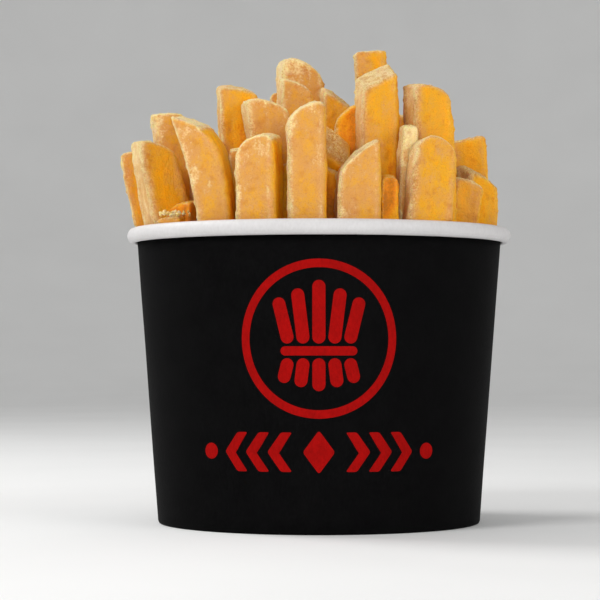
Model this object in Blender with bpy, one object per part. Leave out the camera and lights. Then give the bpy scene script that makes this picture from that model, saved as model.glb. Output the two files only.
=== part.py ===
"""Thick-cut potato fries standing in a round paper tub with a rolled rim.

Frame: origin at the middle of the underside, +Z up, -Y is the front. All sizes are in millimetres.
"""

import math
import random

import bmesh
import bpy
from mathutils import Vector

MM = 0.001
TURN_STEPS = 72
SMOOTH_UNDER = math.radians(35)

# Tub. The rim's outer diameter is the driving size, and the wall is a cone inside it.
RIM_DIAMETER = 117.0
TUB_HEIGHT = 89.2
ROLL_HALF_WIDTH = 1.93
ROLL_HALF_HEIGHT = 2.25
ROLL_STEPS = 16
WALL_BOTTOM_RADIUS = 48.9
WALL_FLARE = 0.0759
WALL_THICKNESS = 0.6
WALL_TOP = 84.9
WALL_CORNER = 0.8
PLY_GAP = 0.25
FLANGE_THICKNESS = 0.5
HEM_HEIGHT = 6.0
HEM_FOLD = 0.7
BASE_TOP = 7.4
BASE_THICKNESS = 0.6
BASE_CORNER = 0.25

# Core that fills the tub under the fries.
CORE_BOTTOM = 7.7
CORE_TOP = 82.0
CORE_CLEARANCE = 0.45
CORE_EDGE = 1.5
RIM_CLEARANCE = 0.35
TRIM_RADIUS = 80.0
SCRAP_JOIN = 0.004

# Fry section and end.
FRY_FOOT = 78.0
SECTION_CHAMFER = 0.2
END_SIZE = 0.78
END_DROP = 0.11

# Fries that show from the front: foot as (x, y), bend and tip as (x, y, z).
PATHS = {
    "far_left_thin": ((-48.2, -4.5), (-51.7, -5, 92), (-56.1, -6.5, 112.6)),
    "left_broad": ((-42.5, -17.3), (-45.8, -17.8, 94), (-49.4, -18.5, 113.9)),
    "left_behind": ((-36.8, -5), (-41.5, -5, 100), (-46.3, -4.5, 124.1)),
    "left_bent": ((-28.8, -36.6), (-28.2, -37.6, 104), (-37.2, -37.3, 118.9)),
    "left_stub": ((-40, -30.2), (-40.2, -30.6, 86), (-39.6, -31, 96)),
    "tall_left": ((-21.8, -20), (-22.8, -20, 104), (-24.4, -20, 130.6)),
    "pale_wide": ((-9.6, -30.6), (-12.2, -31, 106), (-15.8, -31, 125.2)),
    "sliver": ((-21.2, -33.6), (-21.8, -34, 98), (-23.6, -34.5, 111.2)),
    "front_round": ((-16.9, -43.8), (-17, -44.8, 96), (-17.1, -45, 113.9)),
    "front_tall": ((-3.1, -44.8), (-3.2, -46.2, 100), (-3.8, -46.5, 122.4)),
    "back_peak": ((-5.4, 7), (-5.6, 7.6, 110), (-5.9, 8, 142.2)),
    "mid_peak": ((-6.8, -12), (-7, -12, 105), (-7.4, -12, 133.2)),
    "mid_tuck": ((-9.4, -2.2), (-9.9, -2.2, 105), (-11, -2, 131.4)),
    "mid_slanted": ((5, -14), (5.3, -14, 104), (5.8, -14, 128.2)),
    "mid_shaded": ((10.4, -24), (10, -24.4, 100), (9.6, -24.6, 124.4)),
    "tilted_end": ((3.4, -26), (3.6, -29, 98), (5.2, -35.2, 111.6)),
    "front_pointed": ((11.1, -45), (11.1, -46, 92), (11.2, -46.2, 109.2)),
    "tall_bevelled": ((16.6, -29), (16.9, -29.4, 104), (16.7, -29.6, 132.8)),
    "small_brown": ((19.8, -43), (19.8, -43.4, 90), (19.9, -43.6, 102.4)),
    "tallest": ((17.6, -4.2), (17.3, -4, 115), (15.4, -3.5, 143.6)),
    "tall_right": ((33.2, -30), (32.9, -30, 104), (31.6, -30, 129.8)),
    "pale_strip": ((24.6, -36.4), (25.2, -36.8, 98), (26, -37, 117.6)),
    "right_round": ((29.6, -38.6), (31.2, -39.6, 95), (32.4, -40, 113.4)),
    "right_high": ((47.2, -0.6), (46.4, -0.4, 100), (44.9, 0, 117)),
    "right_brown": ((45.9, -10.6), (47.2, -10.8, 92), (47.7, -11, 106)),
    "right_small": ((41.2, -22.2), (42.2, -22.8, 90), (44.1, -23.2, 102.6)),
}
# Their width, depth, turn about the upright in degrees, rise of the cut end to the right and to the back,
# how far it falls to both sides, and size at the tip as a share of that at the foot.
SHAPES = {
    "far_left_thin": (8.8, 10, 0, -0.1, 0, 0.6, 1),
    "left_broad": (12.6, 10.5, 24, -0.45, 0.1, 1.5, 1),
    "left_behind": (11, 10, 6, -0.15, 0, 0.3, 1),
    "left_bent": (9.6, 10, -14, -0.82, 0, 0.2, 1.3),
    "left_stub": (9, 6, -30, 0.3, 0.2, 1.2, 1),
    "tall_left": (11.4, 10.2, 8, -0.2, 0.2, 0.6, 1.05),
    "pale_wide": (11.6, 10.5, 10, -0.4, 0.1, 1.2, 1.2),
    "sliver": (6, 5, 0, 0.1, 0.2, 0.3, 1),
    "front_round": (12.2, 10.5, -18, 0.33, 0.1, 3.4, 0.98),
    "front_tall": (10.6, 11, 2, 0.45, 0.1, 2, 1.07),
    "back_peak": (12.8, 10, 12, -0.36, 0.1, 3, 1.05),
    "mid_peak": (9.8, 9.6, 12, -0.45, 0.15, 1, 1),
    "mid_tuck": (8.4, 8, 0, 0.12, 0, 0.8, 1),
    "mid_slanted": (10, 9, 8, -0.64, 0.35, 0.8, 1),
    "mid_shaded": (10.4, 8.8, 0, 0.5, 0.1, 2.6, 1),
    "tilted_end": (9, 8.4, 0, -0.75, 0.8, 0.6, 1),
    "front_pointed": (12.9, 11, 6, 0.85, 0.1, 1.6, 0.96),
    "tall_bevelled": (12.2, 11, 15, 0.5, 0.5, 0.2, 0.93),
    "small_brown": (5.2, 6.4, 10, 0, 0.2, 0.4, 1),
    "tallest": (9.8, 10, 0, 0, 0.1, 0.4, 1),
    "tall_right": (12.8, 10.5, 22, -0.28, 0.15, 2, 0.97),
    "pale_strip": (5, 7, 10, 0.05, 0.1, 0.3, 1),
    "right_round": (13.6, 10, 20, -0.08, -0.1, 5, 1),
    "right_high": (11.4, 9.6, 0, 0.13, 0.1, 0, 1),
    "right_brown": (11.2, 9, 30, -0.42, 0.4, 2, 1),
    "right_small": (8.8, 8.2, 8, -0.2, 0.1, 0.6, 1),
}
FRIES = {name: (*PATHS[name], *SHAPES[name]) for name in PATHS}

# Fries behind them, in two passes: least distance between two fries, and range of widths.
FILL_PASSES = ((10.8, (11.0, 12.8)), (9.0, (8.6, 10.4)))
FILL_SEED = 11
FILL_TRIES = 700
FILL_REACH = 47.0
FILL_FRONT = -12.0
FILL_TOP = 131.0
FILL_TOP_SPREAD = 17.0
FILL_EDGE_FALL = 17.0
FILL_MOST_LEAN = 0.12
FILL_MOST_BOW = 1.5
FILL_MOST_TURN = 40.0
FILL_BELOW_SKYLINE = 4.0
FILL_END_FALL = 0.8
STANDING_SHARE = 0.65

# Outline of the front fries as (x limit, height) on the tub's axis, seen from in front.
VIEW_DISTANCE = 655.0
VIEW_HEIGHT = 52.4
SKYLINE = (
    (-58.0, 92.0),
    (-51.6, 111.0),
    (-38.0, 119.0),
    (-31.0, 118.0),
    (-19.0, 129.0),
    (-14.0, 126.0),
    (1.0, 134.0),
    (10.4, 123.5),
    (22.4, 136.0),
    (40.5, 126.0),
    (51.5, 114.0),
    (56.0, 98.0),
)

# Colours are sRGB.
SIDE_PRINT = (0.10, 0.10, 0.11)
WHITE_BOARD = (0.88, 0.87, 0.86)
FRIED_POTATO = (0.90, 0.64, 0.30)


def wall_radius(height):
    return WALL_BOTTOM_RADIUS + WALL_FLARE * height


def paint(obj, name, colour, roughness):
    """The object's own plain material."""
    material = bpy.data.materials.new(name)
    material.use_nodes = True
    shader = material.node_tree.nodes["Principled BSDF"]
    linear = [c / 12.92 if c <= 0.04045 else ((c + 0.055) / 1.055) ** 2.4 for c in colour]
    shader.inputs["Base Color"].default_value = (*linear, 1.0)
    shader.inputs["Roughness"].default_value = roughness
    shader.inputs["Metallic"].default_value = 0.0
    obj.data.materials.clear()
    obj.data.materials.append(material)


def mesh_object(name, points, faces):
    mesh = bpy.data.meshes.new(name)
    mesh.from_pydata([Vector(point) * MM for point in points], [], faces)
    build = bmesh.new()
    build.from_mesh(mesh)
    bmesh.ops.recalc_face_normals(build, faces=build.faces)
    build.to_mesh(mesh)
    build.free()
    obj = bpy.data.objects.new(name, mesh)
    bpy.context.scene.collection.objects.link(obj)
    return obj


def circle(radius, height):
    steps = (math.tau * step / TURN_STEPS for step in range(TURN_STEPS))
    return [(radius * math.cos(angle), radius * math.sin(angle), height) for angle in steps]


def band(lower, upper):
    """Faces between two circles, given the index of the first point of each."""
    faces = []
    for step in range(TURN_STEPS):
        beside = (step + 1) % TURN_STEPS
        faces.append((lower + step, lower + beside, upper + beside, upper + step))
    return faces


def turned_ring(name, profile):
    """A closed outline of (radius, height) points turned once round Z."""
    points = [point for radius, height in profile for point in circle(radius, height)]
    faces = []
    for row in range(len(profile)):
        after = (row + 1) % len(profile)
        faces += band(row * TURN_STEPS, after * TURN_STEPS)
    return mesh_object(name, points, faces)


def turned_solid(name, profile):
    """An outline that starts and ends near the axis, turned once round Z and closed by two round faces."""
    points = [point for radius, height in profile for point in circle(radius, height)]
    faces = [tuple(range(TURN_STEPS))]
    for row in range(len(profile) - 1):
        faces += band(row * TURN_STEPS, (row + 1) * TURN_STEPS)
    last = (len(profile) - 1) * TURN_STEPS
    faces.append(tuple(range(last, last + TURN_STEPS)))
    return mesh_object(name, points, faces)


def roll_section(grow, first, last, count):
    """Points on the rolled rim's section, from one angle in degrees to another."""
    centre_radius = RIM_DIAMETER / 2 - ROLL_HALF_WIDTH
    centre_height = TUB_HEIGHT - ROLL_HALF_HEIGHT
    found = []
    for index in range(count):
        angle = math.radians(first + (last - first) * index / (count - 1))
        radius = centre_radius + (ROLL_HALF_WIDTH + grow) * math.cos(angle)
        height = centre_height + (ROLL_HALF_HEIGHT + grow) * math.sin(angle)
        found.append((radius, height))
    return found


def tub_rim():
    """The rolled rim, a filled ring that sits on the wall's top edge."""
    section = roll_section(0.0, 0.0, 360.0, ROLL_STEPS + 1)
    return turned_ring("tub_rim", section[:-1])


def tub_wall():
    """Sidewall with, at the bottom, the hem that is folded in round the base's flange."""
    lip_outside = WALL_THICKNESS + 2 * PLY_GAP + FLANGE_THICKNESS
    lip_inside = lip_outside + WALL_THICKNESS
    profile = [
        (wall_radius(0) - lip_inside + WALL_CORNER / 2, 0.0),
        (wall_radius(0) - WALL_CORNER, 0.0),
        (wall_radius(0) - WALL_CORNER / 4, WALL_CORNER / 4),
        (wall_radius(WALL_CORNER), WALL_CORNER),
        (wall_radius(WALL_TOP), WALL_TOP),
        (wall_radius(WALL_TOP) - WALL_THICKNESS, WALL_TOP),
        (wall_radius(HEM_FOLD) - WALL_THICKNESS, HEM_FOLD),
        (wall_radius(HEM_FOLD) - lip_outside, HEM_FOLD),
        (wall_radius(HEM_HEIGHT) - lip_outside, HEM_HEIGHT),
        (wall_radius(HEM_HEIGHT) - lip_inside, HEM_HEIGHT),
        (wall_radius(WALL_CORNER) - lip_inside, WALL_CORNER / 2),
    ]
    return turned_ring("tub_wall", profile)


def tub_base():
    """Base disc, set up inside the wall, with its flange turned down into the hem."""
    outside = WALL_THICKNESS + PLY_GAP
    inside = outside + FLANGE_THICKNESS
    underside = BASE_TOP - BASE_THICKNESS
    flange_end = HEM_FOLD + PLY_GAP
    profile = [
        (wall_radius(underside) / 2, underside),
        (wall_radius(underside) - inside, underside),
        (wall_radius(flange_end) - inside, flange_end),
        (wall_radius(flange_end) - outside, flange_end),
        (wall_radius(BASE_TOP) - outside, BASE_TOP - BASE_CORNER),
        (wall_radius(BASE_TOP) - outside - BASE_CORNER, BASE_TOP),
    ]
    return turned_solid("tub_base", profile)


def headroom(x, y, half_width):
    """Height under which a fry stays hidden behind the ones in front."""
    scale = VIEW_DISTANCE / (VIEW_DISTANCE + y)
    left = (x - half_width) * scale
    right = (x + half_width) * scale
    starts = [-RIM_DIAMETER] + [limit for limit, _ in SKYLINE[:-1]]
    met = [height for start, (limit, height) in zip(starts, SKYLINE) if left < limit and right > start]
    return VIEW_HEIGHT + (min(met, default=FILL_TOP) - VIEW_HEIGHT) / scale


def fill_fries():
    """Fries behind the front ones, dropped where there is room, below the outline of the front ones."""
    rng = random.Random(FILL_SEED)
    taken = []
    for foot, _, tip, *_ in FRIES.values():
        standing = Vector(tip[:2]).lerp(Vector(foot), STANDING_SHARE)
        taken.append((standing.x, standing.y))
    found = {}
    for nearest, width_range in FILL_PASSES:
        for _ in range(FILL_TRIES):
            reach = FILL_REACH * math.sqrt(rng.random())
            angle = rng.uniform(0, math.tau)
            x = reach * math.cos(angle)
            y = reach * math.sin(angle)
            if y < FILL_FRONT:
                continue
            if min(math.hypot(x - tx, y - ty) for tx, ty in taken) < nearest:
                continue
            taken.append((x, y))
            width = rng.uniform(*width_range)
            depth = width * rng.uniform(0.84, 1.0)
            edge = max(0.0, y) / FILL_REACH
            height = FILL_TOP - FILL_EDGE_FALL * edge * edge - rng.uniform(0.0, FILL_TOP_SPREAD)
            height = min(height, headroom(x, y, 0.75 * width) - FILL_BELOW_SKYLINE)
            foot = Vector((x, y, FRY_FOOT))
            push = 1 + rng.uniform(0.0, FILL_MOST_LEAN) * (height - FRY_FOOT) / (FILL_TOP - FRY_FOOT)
            tip = Vector((x * push, y * push, height))
            bow = Vector((rng.uniform(-1, 1), rng.uniform(-1, 1), 0)) * FILL_MOST_BOW
            bend = foot.lerp(tip, 0.5) + bow
            turn = rng.uniform(-FILL_MOST_TURN, FILL_MOST_TURN)
            rise = rng.uniform(-0.6, 0.6)
            back = rng.uniform(-0.4, 0.3)
            end = (turn, rise, back, FILL_END_FALL, 1.0)
            found["fill_%02d" % len(found)] = ((x, y), bend, tip, width, depth, *end)
    return found


def fry_section(width, depth):
    """Eight corners of a bar's section with its edges cut off."""
    half_w = width / 2
    half_d = depth / 2
    cut = SECTION_CHAMFER * min(width, depth)
    quarter = [(half_w, half_d - cut), (half_w - cut, half_d)]
    back = quarter + [(-u, v) for u, v in reversed(quarter)]
    return back + [(-u, -v) for u, v in back]


def fry(name, foot, bend, tip, width, depth, turn, rise, back, fall, flare):
    """One fry: an eight-sided bar swept along a bent line, with a slanted, domed end."""
    foot = Vector((*foot, FRY_FOOT))
    bend = Vector(bend)
    tip = Vector(tip)
    side = Vector((math.cos(math.radians(turn)), math.sin(math.radians(turn)), 0.0))
    corners = fry_section(width, depth)
    drop = Vector((0, 0, END_DROP * min(width, depth)))
    # Each ring: how far along, its size, how much of the end's slant it has, how far it is let down.
    rings = ((0, 1, 0, 0), (0.35, 1, 0, 0), (0.7, 1, 0.25, 0), (1, 1, 1, 1), (1, END_SIZE, 1, 0))
    points = []
    for t, size, slant, down in rings:
        centre = foot * (1 - t) ** 2 + bend * (2 * t * (1 - t)) + tip * t**2
        along = ((bend - foot) * (1 - t) + (tip - bend) * t).normalized()
        across = (side - along * side.dot(along)).normalized()
        inward = along.cross(across)
        size *= 1 + (flare - 1) * t
        for u, v in corners:
            u *= size
            v *= size
            end = u * rise + v * back - fall * (2 * u / width) ** 2
            points.append(centre + across * u + inward * v + Vector((0, 0, slant * end)) - drop * down)
    sides = len(corners)
    last = (len(rings) - 1) * sides
    points.append(tip)
    faces = [tuple(range(sides))]
    for corner in range(sides):
        faces.append((last + corner, last + (corner + 1) % sides, last + sides))
    for ring in range(len(rings) - 1):
        for corner in range(sides):
            beside = (corner + 1) % sides
            low = ring * sides
            high = low + sides
            faces.append((low + corner, low + beside, high + beside, high + corner))
    return mesh_object(name, points, faces)


def apply_modifiers(obj):
    bpy.context.view_layer.update()
    graph = bpy.context.evaluated_depsgraph_get()
    mesh = bpy.data.meshes.new_from_object(obj.evaluated_get(graph))
    obj.modifiers.clear()
    obj.data = mesh


def drop_scraps(obj):
    """Keeps the biggest piece, and leaves out the scraps that the trim cuts loose."""
    build = bmesh.new()
    build.from_mesh(obj.data)
    bmesh.ops.remove_doubles(build, verts=build.verts, dist=SCRAP_JOIN * MM)
    build.verts.index_update()
    seen = set()
    pieces = []
    for start in build.verts:
        if start in seen:
            continue
        seen.add(start)
        piece = [start]
        for vert in piece:
            beside = {edge.other_vert(vert) for edge in vert.link_edges} - seen
            seen |= beside
            piece += sorted(beside, key=lambda found: found.index)
        pieces.append(piece)
    pieces.sort(key=len)
    scraps = [vert for piece in pieces[:-1] for vert in piece]
    bmesh.ops.delete(build, geom=scraps, context="VERTS")
    build.to_mesh(obj.data)
    build.free()


def core():
    """Plain filling that stands for the lower parts of the fries."""
    inset = WALL_THICKNESS + CORE_CLEARANCE
    profile = [
        (wall_radius(CORE_BOTTOM) - inset - CORE_EDGE, CORE_BOTTOM),
        (wall_radius(CORE_BOTTOM + CORE_EDGE) - inset, CORE_BOTTOM + CORE_EDGE),
        (wall_radius(CORE_TOP) - inset - CORE_EDGE, CORE_TOP),
    ]
    return turned_solid("fries", profile)


def tub_room():
    """Everything that the tub takes up, with a little clearance, from the wall's inside outwards."""
    inset = WALL_THICKNESS + RIM_CLEARANCE
    profile = [
        (wall_radius(0) - inset, 0.0),
        (TRIM_RADIUS, 0.0),
        (TRIM_RADIUS, TUB_HEIGHT - ROLL_HALF_HEIGHT),
    ]
    profile += roll_section(RIM_CLEARANCE, 0.0, 180.0, ROLL_STEPS // 2 + 1)
    profile.append((wall_radius(WALL_TOP) - inset, WALL_TOP))
    return turned_ring("tub_room", profile)


def fries():
    """The heap: the core and the fries that show, fused, and trimmed clear of the tub."""
    heap = core()
    bars = bpy.data.collections.new("bars")
    bpy.context.scene.collection.children.link(bars)
    for name, values in {**FRIES, **fill_fries()}.items():
        bar = fry(name, *values)
        bpy.context.scene.collection.objects.unlink(bar)
        bars.objects.link(bar)
    union = heap.modifiers.new("fuse", "BOOLEAN")
    union.operation = "UNION"
    union.operand_type = "COLLECTION"
    union.collection = bars
    apply_modifiers(heap)
    for bar in list(bars.objects):
        bpy.data.objects.remove(bar)
    bpy.data.collections.remove(bars)

    room = tub_room()
    trim = heap.modifiers.new("trim", "BOOLEAN")
    trim.operation = "DIFFERENCE"
    trim.object = room
    apply_modifiers(heap)
    bpy.data.objects.remove(room)
    drop_scraps(heap)
    return heap


def main():
    for obj in list(bpy.data.objects):
        bpy.data.objects.remove(obj)
    bpy.context.scene.unit_settings.system = "METRIC"
    wall = tub_wall()
    paint(wall, "tub_paper", SIDE_PRINT, 0.7)
    rim = tub_rim()
    paint(rim, "rim_paper", WHITE_BOARD, 0.5)
    base = tub_base()
    paint(base, "base_paper", WHITE_BOARD, 0.6)
    heap = fries()
    paint(heap, "fried_potato", FRIED_POTATO, 0.5)
    for obj in (wall, rim, base):
        obj.data.shade_smooth()
        obj.data.set_sharp_from_angle(angle=SMOOTH_UNDER)


main()
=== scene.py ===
"""Scene for the round paper tub of thick-cut fries: fine tub, single fries, print, studio and camera.

Frame: origin at the middle of the underside, +Z up, -Y is the front. Sizes are in millimetres until a
mesh or an object is made, and colours are sRGB until a shader takes them.
"""

import math
import random

import bmesh
import bpy
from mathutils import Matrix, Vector, noise


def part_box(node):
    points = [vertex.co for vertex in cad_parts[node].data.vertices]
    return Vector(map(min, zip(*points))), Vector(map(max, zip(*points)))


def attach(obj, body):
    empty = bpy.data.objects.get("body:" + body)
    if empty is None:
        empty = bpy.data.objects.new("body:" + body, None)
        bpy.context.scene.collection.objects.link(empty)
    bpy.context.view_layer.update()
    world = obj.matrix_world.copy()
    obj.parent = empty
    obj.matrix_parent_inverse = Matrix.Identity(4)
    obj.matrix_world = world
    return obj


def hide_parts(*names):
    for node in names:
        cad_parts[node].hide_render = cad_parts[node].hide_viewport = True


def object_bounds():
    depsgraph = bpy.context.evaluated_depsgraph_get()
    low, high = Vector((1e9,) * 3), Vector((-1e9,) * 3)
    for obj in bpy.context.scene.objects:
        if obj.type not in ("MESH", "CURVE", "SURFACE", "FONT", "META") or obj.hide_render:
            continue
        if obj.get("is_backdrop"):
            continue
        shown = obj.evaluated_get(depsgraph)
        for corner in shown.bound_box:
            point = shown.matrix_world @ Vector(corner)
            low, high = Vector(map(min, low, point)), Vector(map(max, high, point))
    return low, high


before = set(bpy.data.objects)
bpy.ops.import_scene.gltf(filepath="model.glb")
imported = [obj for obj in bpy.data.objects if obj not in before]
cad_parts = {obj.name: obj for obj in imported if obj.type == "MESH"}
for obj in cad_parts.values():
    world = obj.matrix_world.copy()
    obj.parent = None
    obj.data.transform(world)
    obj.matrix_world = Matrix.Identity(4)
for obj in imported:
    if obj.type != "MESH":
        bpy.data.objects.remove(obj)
CAD_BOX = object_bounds()

MM = 0.001


def round_size(node):
    """Outer radius, lowest and highest height of a round CAD node."""
    low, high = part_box(node)
    return high.x / MM, low.z / MM, high.z / MM


# Tub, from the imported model.
RIM_RADIUS, ROLL_BOTTOM, TUB_HEIGHT = round_size("tub_rim")
WALL_TOP_RADIUS, _, WALL_TOP = round_size("tub_wall")
BASE_RADIUS, FLANGE_BOTTOM, BASE_TOP = round_size("tub_base")
ROLL_HALF_HEIGHT = (TUB_HEIGHT - ROLL_BOTTOM) / 2
ROLL_HALF_WIDTH = 1.93
WALL_FLARE = 0.0759
SHEET = 0.3
HEM_HEIGHT = 6.0
HEM_GAP = 1.0
BOTTOM_ROUND = 0.8
BASE_THICKNESS = 0.6
BASE_CORNER = 0.5
FLANGE_THICKNESS = 0.5
UNDER_DOME = 0.5
UPPER_DOME = 0.3
DISC_MIDDLE = 0.5
DISC_RADII = (12, 24, 36, 42)
# Steps inwards and down of the bend from the base board into its flange.
FLANGE_BEND = ((1.2, 0.0), (0.3, 0.4), (0.1, 1.4))
TURN_STEPS = 480
ROW_PITCH = 5.0

# Unevenness of the tub: lapped side seam, waves in the wall, crimps in the hem, and the tucked edge
# and the crease of the rolled rim.
SEAM_ANGLE = math.radians(68)
SEAM_STEP = 0.3
SEAM_LAP = 11.0
WAVE = 0.16
WAVE_LENGTH = 34.0
WAVE_FADE = 20
MIDDLE_RADIUS = 52
CRIMP_PITCH = math.radians(3)
CRIMP_DEPTH = 0.12
TUCK_ANGLE = 236.0
TUCK_WIDTH = 8.0
TUCK_DEPTH = 0.4
CREASE_ANGLE = 322.0
CREASE_WIDTH = 5.0
CREASE_DEPTH = 0.05
ROLL_STEP = 6
ROLL_UNEVEN = 0.05
ROLL_WAVES = 6

# Print. A fall is how much shorter a bar is than the next one nearer the middle.
PRINT_LIFT = 0.06
PRINT_THICKNESS = 0.05
PRINT_CUT = 1.2
PRINT_HALF_WIDTH = 36
PRINT_HEIGHTS = (12, 80)
BADGE_HEIGHT = 55.5
BADGE_RADIUS = 22.5
BADGE_STROKE = 2.4
RING_STEPS = 60
BAR_WIDTH = 3.7
BAR_PITCH = 4.5
BAR_TILT = 7
BAR_START = 3.9
UPPER_BAR = 14.2
UPPER_FALL = 2.3
LOWER_BAR = 5.6
LOWER_FALL = 1.1
BAR_END_STEPS = 10
TIE_DROP = 3.4
TIE_LENGTH = 19.2
TIE_WIDTH = 2.6
ROW_HEIGHT = 23.5
DIAMOND = ((0, -6.2), (4.6, 0), (0, 6.2), (-4.6, 0))
DIAMOND_ROUND = 0.9
CHEVRON = ((0, 5.6), (3.2, 5.6), (7.2, 0), (3.2, -5.6), (0, -5.6), (4, 0))
CHEVRON_ROUND = 0.7
CHEVRON_PLACES = (7.6, 14.2, 20.8)
DOT_PLACE = 33.0
DOT_RADIUS = 2.3
CORNER_STEPS = 4

# Fries that show from the front: foot as (x, y), bend and tip as (x, y, z).
PATHS = {
    "far_left_thin": ((-48.2, -4.5), (-51.7, -5, 92), (-56.1, -6.5, 112.6)),
    "left_broad": ((-42.5, -17.3), (-45.8, -17.8, 94), (-49.4, -18.5, 113.9)),
    "left_behind": ((-36.8, -5), (-41.5, -5, 100), (-46.3, -4.5, 124.1)),
    "left_bent": ((-28.8, -36.6), (-28.2, -37.6, 104), (-37.2, -37.3, 118.9)),
    "left_stub": ((-40.2, -25), (-40.4, -25, 86), (-40, -25, 96)),
    "left_crumbed": ((-43.4, -29.6), (-43.4, -29.6, 84), (-43.4, -29.6, 91.6)),
    "tall_left": ((-21.8, -20), (-22.8, -20, 104), (-24.4, -20, 130.6)),
    "pale_wide": ((-9.6, -30.6), (-12.2, -31, 106), (-15.8, -31, 125.2)),
    "sliver": ((-21.2, -33.6), (-21.8, -34, 98), (-23.6, -34.5, 111.2)),
    "front_round": ((-16.9, -43.8), (-17, -44.8, 96), (-17.1, -45, 113.9)),
    "gap_left": ((-10.2, -38.6), (-10.2, -38.8, 90), (-10.4, -39, 106)),
    "front_tall": ((-3.1, -44.8), (-3.2, -46.2, 100), (-3.8, -46.5, 122.4)),
    "back_peak": ((-5.4, 7), (-5.6, 7.6, 110), (-5.9, 8, 142.2)),
    "mid_peak": ((-6.8, -12), (-7, -12, 105), (-7.4, -12, 133.2)),
    "mid_tuck": ((-9.4, -2.2), (-9.9, -2.2, 105), (-11, -2, 131.4)),
    "mid_slanted": ((5, -14), (5.3, -14, 104), (5.8, -14, 128.2)),
    "mid_shaded": ((10.4, -24), (10, -24.4, 100), (9.6, -24.6, 124.4)),
    "tilted_end": ((3.4, -26), (3.6, -29, 98), (5.2, -35.2, 111.6)),
    "gap_right": ((3.8, -37.6), (3.8, -37.8, 90), (3.9, -38, 104.5)),
    "front_pointed": ((11.1, -45), (11.1, -46, 92), (11.2, -46.2, 109.2)),
    "tall_bevelled": ((16.6, -29), (16.9, -29.4, 104), (16.7, -29.6, 132.8)),
    "small_brown": ((19.8, -43), (19.8, -43.4, 90), (19.9, -43.6, 102.4)),
    "tallest": ((17.6, -4.2), (17.3, -4, 115), (15.4, -3.5, 143.6)),
    "tall_right": ((33.2, -30), (32.9, -30, 104), (31.6, -30, 129.8)),
    "pale_strip": ((24.6, -36.4), (25.2, -36.8, 98), (26, -37, 117.6)),
    "right_round": ((29.6, -38.6), (31.2, -39.6, 95), (32.4, -40, 113.4)),
    "right_high": ((47.2, -0.6), (46.4, -0.4, 100), (44.9, 0, 117)),
    "right_brown": ((45.9, -10.6), (47.2, -10.8, 92), (47.7, -11, 106)),
    "right_small": ((41.2, -22.2), (42.2, -22.8, 90), (44.1, -23.2, 102.6)),
}
# Their width, depth, turn about the upright in degrees, rise of the cut end to the right and to the
# back, how far it falls to both sides, and size at the tip as a share of that at the foot.
SHAPES = {
    "far_left_thin": (8.8, 10, 0, -0.1, 0, 0.6, 1),
    "left_broad": (12.6, 10.5, 24, -0.45, 0.1, 1.5, 1),
    "left_behind": (11, 10, 6, -0.15, 0, 0.3, 1),
    "left_bent": (9.6, 10, -14, -0.82, 0, 0.2, 1.3),
    "left_stub": (9, 6, -30, 0.3, 0.2, 1.2, 1),
    "left_crumbed": (8, 6.4, -12, 0.1, 0.1, 0.4, 1),
    "tall_left": (11.4, 10.2, 8, -0.2, 0.2, 0.6, 1.05),
    "pale_wide": (11.6, 10.5, 10, -0.4, 0.1, 1.2, 1.2),
    "sliver": (6, 5, 0, 0.1, 0.2, 0.3, 1),
    "front_round": (12.2, 10.5, -18, 0.33, 0.1, 3.4, 0.98),
    "gap_left": (6.5, 6, 10, 0.2, 0.2, 0.6, 1),
    "front_tall": (10.6, 11, 2, 0.45, 0.1, 2, 1.07),
    "back_peak": (12.8, 10, 12, -0.36, 0.1, 3, 1.05),
    "mid_peak": (9.8, 9.6, 12, -0.45, 0.15, 1, 1),
    "mid_tuck": (8.4, 8, 0, 0.12, 0, 0.8, 1),
    "mid_slanted": (10, 9, 8, -0.64, 0.35, 0.8, 1),
    "mid_shaded": (10.4, 8.8, 0, 0.5, 0.1, 2.6, 1),
    "tilted_end": (9, 8.4, 0, -0.75, 0.8, 0.6, 1),
    "gap_right": (7, 5, -12, -0.4, 0.2, 0.6, 1),
    "front_pointed": (12.9, 11, 6, 0.85, 0.1, 1.6, 0.96),
    "tall_bevelled": (12.2, 11, 15, 0.5, 0.5, 0.2, 0.93),
    "small_brown": (5.2, 6.4, 10, 0, 0.2, 0.4, 1),
    "tallest": (9.8, 10, 0, 0, 0.1, 0.4, 1),
    "tall_right": (12.8, 10.5, 22, -0.28, 0.15, 2, 0.97),
    "pale_strip": (5, 7, 10, 0.05, 0.1, 0.3, 1),
    "right_round": (13.6, 10, 20, -0.08, -0.1, 5, 1),
    "right_high": (11.4, 9.6, 0, 0.13, 0.1, 0, 1),
    "right_brown": (11.2, 9, 30, -0.42, 0.4, 2, 1),
    "right_small": (8.8, 8.2, 8, -0.2, 0.1, 0.6, 1),
}
# Their tone, from cream (0) through gold (0.6) and deep gold (0.9) to brown (1.5).
# left_stub, small_brown and mid_shaded are deeper partly as painted shade, where they stand in shadow.
TONES = {
    "far_left_thin": 0.55,
    "left_broad": 0.65,
    "left_behind": 0.4,
    "left_bent": 0.4,
    "left_stub": 1.3,
    "left_crumbed": 0.7,
    "tall_left": 0.75,
    "pale_wide": 0.4,
    "sliver": 0.5,
    "front_round": 0.34,
    "gap_left": 0.6,
    "front_tall": 0.34,
    "back_peak": 0.35,
    "mid_peak": 0.5,
    "mid_tuck": 0.7,
    "mid_slanted": 0.75,
    "mid_shaded": 1,
    "tilted_end": 0.95,
    "gap_right": 0.7,
    "front_pointed": 0.36,
    "tall_bevelled": 0.66,
    "small_brown": 1.4,
    "tallest": 0.72,
    "tall_right": 0.72,
    "pale_strip": 0,
    "right_round": 0.58,
    "right_high": 0.8,
    "right_brown": 0.8,
    "right_small": 0.6,
}
FRIES = {name: (*PATHS[name], *SHAPES[name], TONES[name]) for name in PATHS}

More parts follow.
